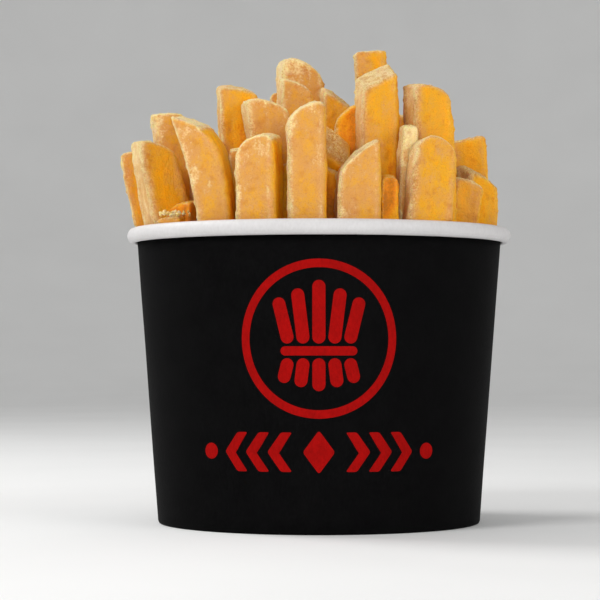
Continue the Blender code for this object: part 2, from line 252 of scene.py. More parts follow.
# Fries behind them, in two passes: least distance between two fries, and range of widths.
FRY_FOOT = 78.0
FILL_PASSES = ((10.8, (11.0, 12.8)), (9.0, (8.6, 10.4)))
FILL_SEED = 11
FILL_TRIES = 700
FILL_REACH = 47.0
FILL_FRONT = -12.0
FILL_TOP = 131.0
FILL_TOP_SPREAD = 17.0
FILL_EDGE_FALL = 17.0
FILL_MOST_LEAN = 0.12
FILL_MOST_BOW = 1.5
FILL_MOST_TURN = 40.0
FILL_BELOW_SKYLINE = 4.0
FILL_END_FALL = 0.8
FILL_DEPTHS = (0.84, 1.0)
FILL_RISES = (-0.6, 0.6)
FILL_BACKS = (-0.4, 0.3)
FILL_TONES = (0.2, 0.95)
FILL_HALF_WIDTH = 0.75
STANDING_SHARE = 0.65

# Low fries that show only down in the gaps, deep in tone partly as painted shade.
LOW_NEAREST = 8.2
LOW_WIDTHS = (8.0, 10.5)
LOW_HEIGHTS = (88.0, 103.0)
LOW_FRONT = -34.0
LOW_REACH = 48.0
LOW_MOST_TURN = 45
LOW_BACK = 0.1
LOW_DEPTH = 0.9
LOW_TONES = (0.8, 1.3)

# Outline of the front fries as (x limit, height) on the tub's axis, seen from in front.
VIEW_DISTANCE = 655.0
VIEW_HEIGHT = 52.4
SKYLINE = (
    (-58.0, 92.0),
    (-51.6, 111.0),
    (-38.0, 119.0),
    (-31.0, 118.0),
    (-19.0, 129.0),
    (-14.0, 126.0),
    (1.0, 134.0),
    (10.4, 123.5),
    (22.4, 136.0),
    (40.5, 126.0),
    (51.5, 114.0),
    (56.0, 98.0),
)

# Shape of one fry.
FRY_BOTTOM = 64.0
FOOT_RINGS = 6
CORNER_SHARE = 0.16
CORNER_SPREAD = (0.8, 1.15)
LEAST_CORNER = 0.35
ARC_POINTS = 6
FLAT_POINTS = 8
FINE_PITCH = 0.75
COARSE_PITCH = 1.3
END_ROUND = 1.6
END_RINGS = 6
CAP_RINGS = 7
CAP_EDGE = 0.9
EDGE_REACH = 0.8
FALL_POWER = 2.3
SLANT_START = 0.35
SWELL = 0.035
SWELL_LENGTH = 14.0
TWIST = 5.0
HOLLOWS = (-0.1, 0.4)
TIP_REACH = 9.0
TIP_INSET = 0.25
WALL_CLEARANCE = 0.3

# Crust: height and size of its lumps, and its blisters, which stand out more at an edge.
BROAD_LUMPS = (0.35, 9.0)
MIDDLE_LUMPS = (0.13, 3.0)
SMALL_LUMPS = (0.06, 1.2)
BLISTER_SIZE = 1.3
BLISTER_LEVEL = 0.15
BLISTER_SHARE = 0.15
BLISTER_AT_EDGE = 0.55
BLISTER_SHIFT = (7, 3, 5)

# Painted light and shade on a fry, on top of its own tone. Its left side, where the lamps fall, is
# painted pale with glinting grit, and so is its top, and its round edges get a painted highlight.
# Its right side is painted deep as shade, and so is a side close to another fry, as shade in a gap.
# The fries behind have their painted lit side turned by a random angle, up to a limit set below.
MOST_TONE = 1.5
PAINTED_LIT_LEFT_TONE = 0.1
PAINTED_LIT_LEFT_SHARE = 0.8
PAINTED_SHADE_RIGHT_TONE = 0.44
PAINTED_LIT_TOP_TONE = -0.4
PAINTED_EDGE_HIGHLIGHT_TONE = -0.13
PAINTED_GAP_SHADE_TONE = 0.36
SHELTER_LEFT = 0.25
SHELTER_PROBE = 2.5
SHELTER_REACH = 6.0
SHELTER_DEPTH = 12
TOP_GRIT_AND_GLINT = 0.9
EDGE_GRIT_AND_GLINT = 0.1
LEFT_GRIT_AND_GLINT = 0.55
LEFT_EDGE_GRIT_AND_GLINT = 0.45
SHELTER_GRIT_AND_GLINT = 0.8
PAINTED_LIT_SIDE_TURNS = 300.0

# Crumbs, and the filling under the fries. Their shades are tone, grit and nearness to the tip.
CRUMBS = 44
CRUMB_SEED = 5
CRUMB_SIZES = (0.22, 0.52)
CRUMB_SPREAD = (4.4, 2.6)
CRUMB_HEAP = 1.2
CRUMB_UNEVEN = 0.7
CRUMB_PLACE = (-42.4, -30.4, 91.7)
CRUMB_SHADE = (0.0, 0.3, 0.0)
CORE_TOP = 74.0
CORE_LUMP = 2.2
CORE_LUMP_SIZE = 9
# The filling's deep tone is partly painted shade at the bottom of the gaps.
CORE_SHADE = (1.3, 0.0, 0.5)

# Pieces of the heap: limits of the middle one across the tub.
MIDDLE_LEFT = -20
MIDDLE_RIGHT = 14

# Colours.
BLACK_PRINT = (0.03, 0.029, 0.031)
BLACK_FIBRE = (0.052, 0.051, 0.053)
RED_PRINT = (0.64, 0.05, 0.045)
RED_WORN = (0.56, 0.045, 0.04)
WHITE_PAPER = (0.835, 0.827, 0.827)
GREY_PAPER = (0.805, 0.795, 0.795)
CREAM = (0.99, 0.895, 0.655)
PALE = (0.87, 0.64, 0.355)
GOLD = (0.925, 0.67, 0.135)
DEEP = (0.98, 0.68, 0.01)
EMBER = (0.93, 0.56, 0.01)
BRONZE = (0.76, 0.46, 0.03)
TAN = (0.86, 0.615, 0.34)
TOASTED = (0.83, 0.55, 0.21)
BROWN = (0.76, 0.40, 0.03)
PALE_FLOOR = (0.94, 0.94, 0.937)
SKIN_TONES = ((0.0, CREAM), (0.17, PALE), (0.42, GOLD), (0.62, DEEP), (0.8, EMBER), (1.0, BRONZE))

# Surfaces: roughness and gloss, and in millimetres the size of each mottle and the depth of its relief.
PRINTED_ROUGHNESS = (0.58, 0.68)
PRINTED_GLOSS = 0.02
BOARD_ROUGHNESS = (0.45, 0.55)
BOARD_GLOSS = 0.35
CLOUD_SIZE = 7.0
CLOUD_SHARE = 0.35
FIBRE_SIZE = 0.7
FIBRE_DEPTH = 0.05
PAPER_GRAIN_SIZE = 0.22
PAPER_GRAIN_DEPTH = 0.02
BLOTCH_SIZE = 8.0
TAN_SIZE = 5.0
BROWNED_SIZE = 3.0
MOTTLE_SIZE = 2.2
MOTTLE_DEPTH = 0.5
GRAIN_SIZE = 0.6
GRAIN_DEPTH = 0.26
SPECK_SIZE = 0.28
SPECK_DEPTH = 0.8
LEAST_POTATO_ROUGHNESS = 0.34
POTATO_GLOSS = 0.2
POTATO_GLOW = 0.45
POTATO_GLOW_DEPTH = 3.0
POTATO_GLOW_COLOUR = (1.0, 0.55, 0.1)

# Studio. Each light is name, azimuth, elevation, distance, size and power.
FLOOR_MIDDLE = 300.0
FLOOR_REACH = 1500.0
FLOOR_STEPS = 96
FLOOR_MOTTLE = 120.0
COVE = 1000.0
COVE_STEPS = 12
LIGHTS = (
    ("key", -44, 34, 900, 300, 2.95),
    ("kicker", -112, 44, 800, 300, 3.0),
    ("fill", 48, 16, 1100, 600, 2.9),
    ("front", 4, 2, 1200, 400, 2.3),
)
WORLD_LIGHT = 0.5

# Camera, in pixels of the photograph.
PHOTO_WIDTH = 600
AXIS_PIXEL = 318.9
LEVEL_PIXEL = 349.8
FOCAL_PIXELS = 2142.0
SENSOR = 36.0


def linear(colour):
    """Linear RGBA of an sRGB colour."""
    parts = [c / 12.92 if c <= 0.04045 else ((c + 0.055) / 1.055) ** 2.4 for c in colour]
    return (*parts, 1.0)


def smooth(value):
    """Eased step from 0 to 1."""
    value = min(1.0, max(0.0, value))
    return value * value * (3 - 2 * value)


# Mesh helpers.


def mesh_object(name, points, faces, smooth_faces=True):
    mesh = bpy.data.meshes.new(name)
    mesh.from_pydata([Vector(point) * MM for point in points], [], faces)
    build = bmesh.new()
    build.from_mesh(mesh)
    bmesh.ops.recalc_face_normals(build, faces=build.faces)
    build.to_mesh(mesh)
    build.free()
    if smooth_faces:
        mesh.shade_smooth()
    obj = bpy.data.objects.new(name, mesh)
    bpy.context.scene.collection.objects.link(obj)
    return obj


def add_piece(obj, material, slot, *nodes):
    """Dresses a piece, lets it ride on the tub and stand for its CAD nodes."""
    obj.data.materials.append(material)
    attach(obj, "root")
    if nodes:
        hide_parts(*nodes)


def mesh_lists(build):
    """Points and faces of a bmesh, which is freed."""
    points = [vert.co.copy() for vert in build.verts]
    build.verts.index_update()
    faces = [tuple(vert.index for vert in face.verts) for face in build.faces]
    build.free()
    return points, faces


def ring_faces(rows, count, caps=(), closed=False):
    """Faces between rows of points that go round. The rows named as caps are filled in."""
    faces = [tuple(range(row * count, (row + 1) * count)) for row in caps]
    for row in range(rows if closed else rows - 1):
        low = row * count
        high = (row + 1) % rows * count
        for step in range(count):
            beside = (step + 1) % count
            faces.append((low + step, low + beside, high + beside, high + step))
    return faces


def turned(name, profile, place, closed=True):
    """A profile of (radius, height) points turned round Z.

    place(radius, height, angle) gives each point.
    """
    points = []
    for radius, height in profile:
        for step in range(TURN_STEPS):
            points.append(place(radius, height, math.tau * step / TURN_STEPS))
    rows = len(profile)
    caps = () if closed else (0, rows - 1)
    return mesh_object(name, points, ring_faces(rows, TURN_STEPS, caps, closed))


def round_place(radius, height, angle):
    return (radius * math.cos(angle), radius * math.sin(angle), height)


# Tub.


def wall_radius(height):
    return WALL_TOP_RADIUS - WALL_FLARE * (WALL_TOP - height)


def seam_rise(angle, step):
    """How far the lapped edge of the side seam stands proud at an angle."""
    past = (angle - SEAM_ANGLE) % math.tau * WALL_TOP_RADIUS
    return step * (1 - smooth(past / SEAM_LAP))


def wave(height, angle):
    """Slight unevenness of the paper wall, which fades out at the base and under the rim."""
    fade = smooth(height / WAVE_FADE) * smooth((WALL_TOP - height) / WAVE_FADE)
    where = Vector(round_place(MIDDLE_RADIUS, height, angle)) / WAVE_LENGTH
    return WAVE * fade * noise.noise(where)


def on_wall(radius, height, angle):
    reach = radius + wave(height, angle) + seam_rise(angle, SEAM_STEP)
    return round_place(reach, height, angle)


def in_hem(radius, height, angle):
    """As on the wall, with the crimps that gather the folded hem on the inside."""
    if radius < wall_radius(height) - SHEET - HEM_GAP / 2:
        crimp = CRIMP_DEPTH * math.sin(math.tau * angle / CRIMP_PITCH)
        return round_place(radius + crimp, height, angle)
    return on_wall(radius, height, angle)


def rows_between(low, high):
    count = max(2, round((high - low) / ROW_PITCH))
    return [low + (high - low) * index / count for index in range(count + 1)]


def sidewall():
    """The printed sheet: cone, rounded bottom edge and the hem folded up inside."""
    into_roll = WALL_TOP + ROLL_HALF_HEIGHT / 2
    heights = rows_between(BOTTOM_ROUND, into_roll)
    outside = [(wall_radius(height), height) for height in heights]
    inside = [(wall_radius(height) - SHEET, height) for height in reversed(heights)]
    hem_outside = 2 * SHEET + HEM_GAP
    hem_inside = hem_outside + 2 * SHEET
    profile = outside + inside
    profile.append((wall_radius(0) - 2 * SHEET, BOTTOM_ROUND / 2))
    profile.append((wall_radius(0) - hem_outside, BOTTOM_ROUND / 2))
    for height in (BOTTOM_ROUND, HEM_HEIGHT / 2, HEM_HEIGHT):
        profile.append((wall_radius(height) - hem_outside, height))
    for height in (HEM_HEIGHT, HEM_HEIGHT / 2, BOTTOM_ROUND):
        profile.append((wall_radius(height) - hem_inside, height))
    profile.append((wall_radius(0) - hem_inside + BOTTOM_ROUND / 3, BOTTOM_ROUND / 4))
    profile.append((wall_radius(0) - hem_inside + BOTTOM_ROUND, 0.0))
    profile.append((wall_radius(0) - BOTTOM_ROUND, 0.0))
    profile.append((wall_radius(0) - BOTTOM_ROUND / 4, BOTTOM_ROUND / 4))
    return turned("sidewall", profile, in_hem)


def liner():
    """The unprinted inside of the same sheet."""
    heights = rows_between(BASE_TOP + SHEET, WALL_TOP + ROLL_HALF_HEIGHT / 2)
    outside = [(wall_radius(height) - SHEET, height) for height in heights]
    inside = [(wall_radius(height) - 2 * SHEET, height) for height in reversed(heights)]
    return turned("liner", outside + inside, round_place)


def roll_dent(degrees):
    """Depth of the tucked edge under the roll and of the fine crease above it."""
    tuck = TUCK_DEPTH * math.exp(-(((degrees - TUCK_ANGLE) / TUCK_WIDTH) ** 2))
    crease = CREASE_DEPTH * math.exp(-(((degrees - CREASE_ANGLE) / CREASE_WIDTH) ** 2))
    return tuck + crease


def rim_roll():
    """The sheet's top edge rolled outwards, with its end tucked in underneath."""
    profile = []
    for degrees in range(0, 360, ROLL_STEP):
        inset = roll_dent(degrees)
        across = (ROLL_HALF_WIDTH - inset) * math.cos(math.radians(degrees))
        up = (ROLL_HALF_HEIGHT - inset) * math.sin(math.radians(degrees))
        profile.append((RIM_RADIUS - ROLL_HALF_WIDTH + across, TUB_HEIGHT - ROLL_HALF_HEIGHT + up))

    def place(radius, height, angle):
        outward = smooth((radius - RIM_RADIUS + 2 * ROLL_HALF_WIDTH) / 2)
        proud = seam_rise(angle, SEAM_STEP / 2) * outward
        uneven = ROLL_UNEVEN * noise.noise(Vector(round_place(ROLL_WAVES, 0.5, angle)))
        return round_place(radius - ROLL_UNEVEN + uneven + proud, height - abs(uneven), angle)

    return turned("rim_roll", profile, place)


def domed(radius, rise):
    """How far the domed base board stands up at a radius."""
    return rise * (1 - (radius / BASE_RADIUS) ** 2)


def base_disc():
    """Base board, a little domed, with its flange turned down into the hem."""
    underside = BASE_TOP - BASE_THICKNESS
    inside = BASE_RADIUS - FLANGE_THICKNESS
    low_radius = wall_radius(FLANGE_BOTTOM) + BASE_RADIUS - wall_radius(BASE_TOP)
    profile = [(DISC_MIDDLE, underside + UNDER_DOME)]
    profile += [(radius, underside + domed(radius, UNDER_DOME)) for radius in DISC_RADII]
    profile += [(inside - inward, underside - down) for inward, down in FLANGE_BEND]
    profile.append((low_radius - FLANGE_THICKNESS, FLANGE_BOTTOM))
    profile.append((low_radius, FLANGE_BOTTOM))
    profile.append((BASE_RADIUS, BASE_TOP - BASE_CORNER))
    profile.append((BASE_RADIUS - 0.8 * BASE_CORNER, BASE_TOP))
    for radius in (*reversed(DISC_RADII), DISC_MIDDLE):
        profile.append((radius, BASE_TOP + domed(radius, UPPER_DOME)))
    return turned("base_disc", profile, round_place, closed=False)


# Print.


def arc(centre, radius, first, last, steps):
    """Points on an arc, from one angle in degrees to another."""
    found = []
    for step in range(steps + 1):
        angle = math.radians(first + (last - first) * step / steps)
        found.append((centre[0] + radius * math.cos(angle), centre[1] + radius * math.sin(angle)))
    return found


def bar(foot, tilt, length, width):
    """A bar with round ends, from its foot, leaning right by an angle in degrees."""
    turn = 90 - tilt
    top = (
        foot[0] + length * math.cos(math.radians(turn)),
        foot[1] + length * math.sin(math.radians(turn)),
    )
    lower = arc(foot, width / 2, turn + 90, turn + 270, BAR_END_STEPS)
    upper = arc(top, width / 2, turn - 90, turn + 90, BAR_END_STEPS)
    return lower + upper


def softened(corners, radius):
    """A polygon with each corner replaced by a short curve."""
    found = []
    for index, corner in enumerate(corners):
        corner = Vector(corner)
        before = (Vector(corners[index - 1]) - corner).normalized() * radius + corner
        after = (Vector(corners[(index + 1) % len(corners)]) - corner).normalized() * radius + corner
        for step in range(CORNER_STEPS + 1):
            share = step / CORNER_STEPS
            point = before * (1 - share) ** 2 + corner * (2 * share * (1 - share)) + after * share**2
            found.append((point.x, point.y))
    return found


def badge():
    """A ring round a tied bundle of bars."""
    centre = (0.0, BADGE_HEIGHT)
    inner = BADGE_RADIUS - BADGE_STROKE
    shapes = []
    for first in (0, 180):
        ring = arc(centre, BADGE_RADIUS, first, first + 180, RING_STEPS)
        shapes.append(ring + arc(centre, inner, first + 180, first, RING_STEPS))
    tie = BADGE_HEIGHT - TIE_DROP
    for place in range(-2, 3):
        upper = UPPER_BAR - UPPER_FALL * abs(place)
        lower = LOWER_BAR - LOWER_FALL * abs(place)
        tilt = place * BAR_TILT
        shapes.append(bar((place * BAR_PITCH, tie + BAR_START), tilt, upper, BAR_WIDTH))
        shapes.append(bar((place * BAR_PITCH, tie - BAR_START), 180 - tilt, lower, BAR_WIDTH))
    shapes.append(bar((-TIE_LENGTH / 2, tie), 90, TIE_LENGTH, TIE_WIDTH))
    return shapes


def ornament():
    """A row of chevrons that point away from a diamond, with a dot at each end."""
    shapes = [softened([(u, w + ROW_HEIGHT) for u, w in DIAMOND], DIAMOND_ROUND)]
    for side in (-1, 1):
        for start in CHEVRON_PLACES:
            corners = [(side * (start + u), w + ROW_HEIGHT) for u, w in CHEVRON]
            shapes.append(softened(corners, CHEVRON_ROUND))
        shapes.append(arc((side * DOT_PLACE, ROW_HEIGHT), DOT_RADIUS, 0, 350, 35))
    return shapes


def cut_in_strips(build, along, first, last, pitch):
    """Cuts flat shapes at even steps along a direction, so that they can follow the wall."""
    for step in range(round((last - first) / pitch) + 1):
        everything = build.verts[:] + build.edges[:] + build.faces[:]
        place = along * (first + step * pitch)
        bmesh.ops.bisect_plane(build, geom=everything, plane_co=place, plane_no=along)


def print_piece(name, facing):
    """The whole print as a thin layer that follows the wall, centred on an angle."""
    build = bmesh.new()
    for outline in badge() + ornament():
        build.faces.new([build.verts.new((u, 0, w)) for u, w in outline])
    bmesh.ops.triangulate(build, faces=build.faces)
    cut_in_strips(build, Vector((1, 0, 0)), -PRINT_HALF_WIDTH, PRINT_HALF_WIDTH, PRINT_CUT)
    cut_in_strips(build, Vector((0, 0, 1)), *PRINT_HEIGHTS, 4 * PRINT_CUT)
    for vert in build.verts:
        across, _, height = vert.co
        angle = facing + across / wall_radius(height)
        vert.co = on_wall(wall_radius(height) + PRINT_LIFT, height, angle)
    obj = mesh_object(name, *mesh_lists(build), smooth_faces=False)
    away = Vector((math.cos(facing), math.sin(facing), 0))
    if sum(face.normal.dot(away) for face in obj.data.polygons) < 0:
        obj.data.flip_normals()
    layer = obj.modifiers.new("layer", "SOLIDIFY")
    layer.thickness = PRINT_THICKNESS * MM
    layer.offset = -1
    return obj


# Fries.


def headroom(x, y, half_width):
    """Height under which a fry stays hidden behind the ones in front."""
    scale = VIEW_DISTANCE / (VIEW_DISTANCE + y)
    left = (x - half_width) * scale
    right = (x + half_width) * scale
    starts = [-2 * RIM_RADIUS] + [limit for limit, _ in SKYLINE[:-1]]
    met = [height for start, (limit, height) in zip(starts, SKYLINE) if left < limit and right > start]
    return VIEW_HEIGHT + (min(met, default=FILL_TOP) - VIEW_HEIGHT) / scale


def random_spot(rng, most):
    """A place on a disc, as likely in one part of it as in another."""
    reach = most * math.sqrt(rng.random())
    angle = rng.uniform(0, math.tau)
    return reach * math.cos(angle), reach * math.sin(angle)


def random_bow(rng):
    return Vector((rng.uniform(-1, 1), rng.uniform(-1, 1), 0))


def nearest_of(taken, x, y):
    """Distance from a spot to the nearest one that is taken."""
    return min(math.hypot(x - tx, y - ty) for tx, ty in taken)


def fill_fries(taken):
    """Fries dropped behind the front ones where there is room, below the outline of the front ones."""
    rng = random.Random(FILL_SEED)
    tones = random.Random(FILL_SEED + 1)
    found = {}
    for nearest, widths in FILL_PASSES:
        for _ in range(FILL_TRIES):
            x, y = random_spot(rng, FILL_REACH)
            if y < FILL_FRONT or nearest_of(taken, x, y) < nearest:
                continue
            taken.append((x, y))
            width = rng.uniform(*widths)
            depth = width * rng.uniform(*FILL_DEPTHS)
            edge = max(0.0, y) / FILL_REACH
            height = FILL_TOP - FILL_EDGE_FALL * edge * edge - rng.uniform(0.0, FILL_TOP_SPREAD)
            height = min(height, headroom(x, y, FILL_HALF_WIDTH * width) - FILL_BELOW_SKYLINE)
            foot = Vector((x, y, FRY_FOOT))
            push = 1 + rng.uniform(0.0, FILL_MOST_LEAN) * (height - FRY_FOOT) / (FILL_TOP - FRY_FOOT)
            tip = Vector((x * push, y * push, height))
            bend = foot.lerp(tip, 0.5) + random_bow(rng) * FILL_MOST_BOW
            turn = rng.uniform(-FILL_MOST_TURN, FILL_MOST_TURN)
            rise = rng.uniform(*FILL_RISES)
            back = rng.uniform(*FILL_BACKS)
            end = (turn, rise, back, FILL_END_FALL, 1.0, tones.uniform(*FILL_TONES))
            found["fill_%02d" % len(found)] = ((x, y), bend, tip, width, depth, *end)
    return found


def low_fries(taken):
    """Shorter fries down between the others."""
    rng = random.Random(FILL_SEED + 2)
    found = {}
    for _ in range(FILL_TRIES):
        x, y = random_spot(rng, LOW_REACH)
        if y < LOW_FRONT or nearest_of(taken, x, y) < LOW_NEAREST:
            continue
        taken.append((x, y))
        width = rng.uniform(*LOW_WIDTHS)
        foot = Vector((x, y, FRY_FOOT))
        tip = Vector((x, y, rng.uniform(*LOW_HEIGHTS)))
        bend = foot.lerp(tip, 0.5) + random_bow(rng)
        turn = rng.uniform(-LOW_MOST_TURN, LOW_MOST_TURN)
        rise = rng.uniform(*FILL_RISES)
        end = (turn, rise, LOW_BACK, FILL_END_FALL, 1.0, rng.uniform(*LOW_TONES))
        found["low_%02d" % len(found)] = ((x, y), bend, tip, width, LOW_DEPTH * width, *end)
    return found


def bar_section(width, depth, corner):
    """Points round a bar with rounded edges.

    Each is (u, v, outward direction in degrees, nearness to an edge).
    """
    half_w = width / 2 - corner
    half_d = depth / 2 - corner
    found = []
    for quarter, (su, sv) in enumerate(((1, 1), (-1, 1), (-1, -1), (1, -1))):
        for step in range(ARC_POINTS):
            degrees = 90 * (quarter + step / (ARC_POINTS - 1))
            u = su * half_w + corner * math.cos(math.radians(degrees))
            v = sv * half_d + corner * math.sin(math.radians(degrees))
            found.append((u, v, degrees, 1.0))
        flat = 2 * (half_w if quarter % 2 == 0 else half_d)
        start_u, start_v, degrees, _ = found[-1]
        for step in range(1, FLAT_POINTS + 1):
            gone = flat * step / (FLAT_POINTS + 1)
            u = start_u - gone * math.sin(math.radians(degrees))
            v = start_v + gone * math.cos(math.radians(degrees))
            near = math.exp(-((min(gone, flat - gone) / EDGE_REACH) ** 2))
            found.append((u, v, degrees, near))
    return found


def path_place(foot, bend, tip, t, below):
    """Centre and direction on the fry's line, which goes on straight for a length below its foot."""
    if below > 0:
        along = (bend - foot).normalized()
        return foot - along * below, along
    centre = foot * (1 - t) ** 2 + bend * (2 * t * (1 - t)) + tip * t**2
    return centre, ((bend - foot) * (1 - t) + (tip - bend) * t).normalized()


def tub_limit(height):
    """How far out a point may be at a height, inside the wall and the rolled rim."""
    limit = 2 * RIM_RADIUS
    if height < WALL_TOP:
        limit = wall_radius(height) - 2 * SHEET - WALL_CLEARANCE
    level = (height - TUB_HEIGHT + ROLL_HALF_HEIGHT) / (ROLL_HALF_HEIGHT + WALL_CLEARANCE)
    if abs(level) < 1:
        roll = (ROLL_HALF_WIDTH + WALL_CLEARANCE) * math.sqrt(1 - level * level)
        limit = min(limit, RIM_RADIUS - ROLL_HALF_WIDTH - roll)
    return limit


def kept_in_tub(point):
    reach = math.hypot(point.x, point.y)
    limit = tub_limit(point.z)
    if reach > limit:
        return Vector((point.x * limit / reach, point.y * limit / reach, point.z))
    return point


def lumps(where, height, size):
    return height * noise.noise(where / size)


def crust(point, seed, edge, rough):
    """How far the fried surface stands out at a point."""
    where = point + seed
    broad = lumps(where, *BROAD_LUMPS)
    middle = lumps(where, *MIDDLE_LUMPS) * (1 + rough)
    small = lumps(where, *SMALL_LUMPS) * (1 + 2 * rough)
    blister = max(0.0, noise.noise(where / BLISTER_SIZE + Vector(BLISTER_SHIFT)) - BLISTER_LEVEL)
    return broad + middle + small + blister * (BLISTER_SHARE + BLISTER_AT_EDGE * edge)


def fry_rings(length, pitch):
    """Rings of a fry, from the bottom up.

    Each is (share of the path, length below the foot, inset, how far it is let down, size).
    """
    rings = []
    below = FRY_FOOT - FRY_BOTTOM
    for step in range(FOOT_RINGS):
        rings.append((0.0, below * (1 - step / FOOT_RINGS), 0.0, 0.0, 1.0))
    count = round(length / pitch)
    for step in range(count + 1):
        rings.append((step / count, 0.0, 0.0, END_ROUND * step / count, 1.0))
    for step in range(1, END_RINGS + 1):
        angle = math.radians(90 * step / END_RINGS)
        inset = END_ROUND * (1 - math.cos(angle))
        down = END_ROUND * (1 - math.sin(angle))
        rings.append((1.0, 0.0, inset, down, 1.0))
    for step in range(1, CAP_RINGS):
        rings.append((1.0, 0.0, END_ROUND, 0.0, 1 - step / CAP_RINGS))
    return rings


def neighbours(values, others, height):
    """Axis, half width and weight of each fry that stands close by at a height."""
    found = []
    for other in others:
        if other is values or other[2][2] <= height:
            continue
        foot = Vector((*other[0], FRY_FOOT))
        tip = Vector(other[2])
        axis = foot.lerp(tip, (height - FRY_FOOT) / (tip.z - FRY_FOOT))
        found.append((axis.x, axis.y, other[3] / 2, smooth((tip.z - height) / SHELTER_DEPTH)))
    return found


def sheltered(point, out, around):
    """How far a point faces a fry close by, from 0 in the open to 1."""
    most = 0.0
    for x, y, half_width, weight in around:
        probe = point + out * SHELTER_PROBE
        away = math.hypot(probe.x - x, probe.y - y)
        most = max(most, weight * smooth(1 - (away - half_width) / SHELTER_REACH))
    return most


def tone_and_grit_with_painted_light(tone, rightward, lift, edge, shelter):
    """Tone and grit of a fry, with painted light and shade from its facing and what is near."""
    leftward = max(0.0, -rightward)
    shelter *= 1 - (1 - SHELTER_LEFT) * leftward
    # Painted shade: deeper on the side turned right, away from the lamps.
    shade = tone + PAINTED_SHADE_RIGHT_TONE * max(0.0, rightward) ** 2
    # Painted light: the side turned left, towards the lamps, goes to a pale tone.
    shade += (PAINTED_LIT_LEFT_TONE - shade) * PAINTED_LIT_LEFT_SHARE * leftward
    # Painted light on the top, a painted highlight on the edges, painted shade beside another fry.
    shade += PAINTED_LIT_TOP_TONE * lift + PAINTED_EDGE_HIGHLIGHT_TONE * edge + PAINTED_GAP_SHADE_TONE * shelter
    # Pale grit glints, partly a painted highlight, on the lit left side, top and edges, less in shade.
    grit_and_glint = TOP_GRIT_AND_GLINT * lift + EDGE_GRIT_AND_GLINT * edge + leftward * (LEFT_GRIT_AND_GLINT + LEFT_EDGE_GRIT_AND_GLINT * edge)
    grit_and_glint = min(1.0, grit_and_glint) * (1 - SHELTER_GRIT_AND_GLINT * shelter)
    return min(MOST_TONE, max(0.0, shade)), grit_and_glint


def fry_part(values, others, pitch, seed):
    """Points, faces and shades of one fry."""
    foot, bend, tip, width, depth, turn, rise, back, fall, flare, tone = values
    foot = Vector((*foot, FRY_FOOT))
    bend = Vector(bend)
    tip = Vector(tip)
    rng = random.Random(seed)
    shift = Vector((rng.uniform(0, 90), rng.uniform(0, 90), rng.uniform(0, 90)))
    twist = rng.uniform(-TWIST, TWIST)
    hollow = rng.uniform(*HOLLOWS)
    # Side that gets the painted light: the left on front fries, a random side on the fries behind.
    painted_lit_side = PAINTED_LIT_SIDE_TURNS * rng.random()
    if pitch == FINE_PITCH:
        painted_lit_side = 0.0
    corner = CORNER_SHARE * min(width, depth) * rng.uniform(*CORNER_SPREAD)
    length = (bend - foot).length + (tip - bend).length
    points = []
    shades = []
    for t, below, inset, down, size in fry_rings(length, pitch):
        centre, along = path_place(foot, bend, tip, t, below)
        facing = math.radians(turn + twist * (1 - t))
        side = Vector((math.cos(facing), math.sin(facing), 0.0))
        across = (side - along * side.dot(along)).normalized()
        inward = along.cross(across)
        slant = max(0.0, (t - SLANT_START) / (1 - SLANT_START)) ** 2
        uneven = SWELL * noise.noise(shift + Vector((0, 0, t * length / SWELL_LENGTH)))
        swell = 1 + uneven + (flare - 1) * t
        lift = math.sin(math.radians(90 * min(1.0, inset / END_ROUND)))
        near_tip = smooth(1 - (1 - t) * length / TIP_REACH)
        round_end = max(corner - inset, LEAST_CORNER)
        around = neighbours(values, others, centre.z)
        for u, v, degrees, edge in bar_section(width - 2 * inset, depth - 2 * inset, round_end):
            u *= swell * size
            v *= swell * size
            out = across * math.cos(math.radians(degrees)) + inward * math.sin(math.radians(degrees))
            out = (out * (1 - lift) + along * lift).normalized()
            drop = fall * abs(2 * u / width) ** FALL_POWER
            slanted = Vector((0, 0, slant * (u * rise + v * back - drop)))
            point = centre + across * u + inward * v + slanted - along * down
            edge = max(edge * size, lift * size * size * CAP_EDGE)
            stands = crust(point, shift, edge, near_tip) - hollow * (1 - edge) * (1 - lift)
            point = kept_in_tub(point + out * (stands - TIP_INSET * near_tip))
            points.append(point)
            # Facing and shelter of this point, which set its painted light and shade.
            rightward = math.cos(math.radians(degrees - painted_lit_side)) * (1 - lift)
            shelter = sheltered(point, out, around)
            shades.append((*tone_and_grit_with_painted_light(tone, rightward, lift, edge, shelter), near_tip))
    sides = 4 * (ARC_POINTS + FLAT_POINTS)
    rows = len(points) // sides
    return points, ring_faces(rows, sides, caps=(0, rows - 1)), shades


def set_shades(obj, shades):
    """Stores what the potato shader reads at each point: tone, grit and nearness to the tip."""
    # Tone and grit carry painted light and shade.
    layer = obj.data.attributes.new("fry", "FLOAT_COLOR", "POINT")
    layer.data.foreach_set("color", [part for shade in shades for part in (*shade, 1.0)])


def fry_group(name, fries, others, pitch):
    """Several fries as one mesh."""
    points = []
    faces = []
    shades = []
    for title, values in fries.items():
        seed = sum(ord(letter) * (place + 1) for place, letter in enumerate(title))
        own_points, own_faces, own_shades = fry_part(values, others, pitch, seed)
        start = len(points)
        points += own_points
        shades += own_shades
        faces += [tuple(start + index for index in face) for face in own_faces]
    obj = mesh_object(name, points, faces)
    set_shades(obj, shades)
    return obj


